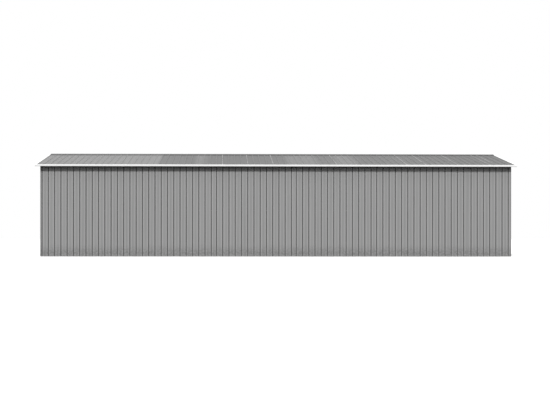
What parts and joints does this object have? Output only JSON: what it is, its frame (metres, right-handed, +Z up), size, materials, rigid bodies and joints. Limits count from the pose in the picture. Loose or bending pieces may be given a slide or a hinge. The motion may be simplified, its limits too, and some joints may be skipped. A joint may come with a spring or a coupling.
{
  "type": "metal storage shed",
  "caption": "Long low storage shed of grey ribbed steel sheet on a light steel frame, with a shallow double-pitch roof, white edge trims and a sliding-door entrance in one end.",
  "frame": {"origin": "on the ground, under the centre of the overall plan", "axes": "+X along the ridge towards the doorway end, +Y from the pictured long wall to the other one, +Z up"},
  "size_m": [7.8216, 2.5696, 1.7736],
  "materials": {
    "wall_sheet": "satin grey coating on zinc-coated steel sheet",
    "roof_sheet": "satin grey coating on zinc-coated steel sheet",
    "white_trim": "semi-gloss white coating on steel strip",
    "frame_steel": "bare zinc-coated steel"
  },
  "bodies": {
    "root": {"back_roof_sheet_1": "roof_sheet", "back_roof_sheet_2": "roof_sheet", "back_roof_sheet_3": "roof_sheet", "back_roof_sheet_4": "roof_sheet", "back_wall_sheet_1": "wall_sheet", "back_wall_sheet_2": "wall_sheet", "back_wall_sheet_3": "wall_sheet", "back_wall_sheet_4": "wall_sheet", "back_wall_sheet_5": "wall_sheet", "back_wall_sheet_6": "wall_sheet", "corner_posts": "frame_steel", "corner_trims": "wall_sheet", "door_handles": "white_trim", "door_jamb_trims": "white_trim", "door_leaf_back": "wall_sheet", "door_leaf_front": "wall_sheet", "door_tracks": "frame_steel", "eave_trims": "white_trim", "end_base_rails": "frame_steel", "end_mid_rails": "frame_steel", "end_top_rails": "frame_steel", "front_roof_sheet_1": "roof_sheet", "front_roof_sheet_2": "roof_sheet", "front_roof_sheet_3": "roof_sheet", "front_roof_sheet_4": "roof_sheet", "front_wall_sheet_1": "wall_sheet", "front_wall_sheet_2": "wall_sheet", "front_wall_sheet_3": "wall_sheet", "front_wall_sheet_4": "wall_sheet", "front_wall_sheet_5": "wall_sheet", "front_wall_sheet_6": "wall_sheet", "gable_sheets": "wall_sheet", "gable_strips": "white_trim", "left_end_sheet_back": "wall_sheet", "left_end_sheet_front": "wall_sheet", "purlins": "frame_steel", "rafters": "frame_steel", "rake_trims": "white_trim", "ridge_beam": "frame_steel", "ridge_cap": "roof_sheet", "right_end_sheets": "wall_sheet", "side_base_rails": "frame_steel", "side_mid_rails": "frame_steel", "side_top_rails": "frame_steel", "wall_studs": "frame_steel"}
  },
  "joints": []
}
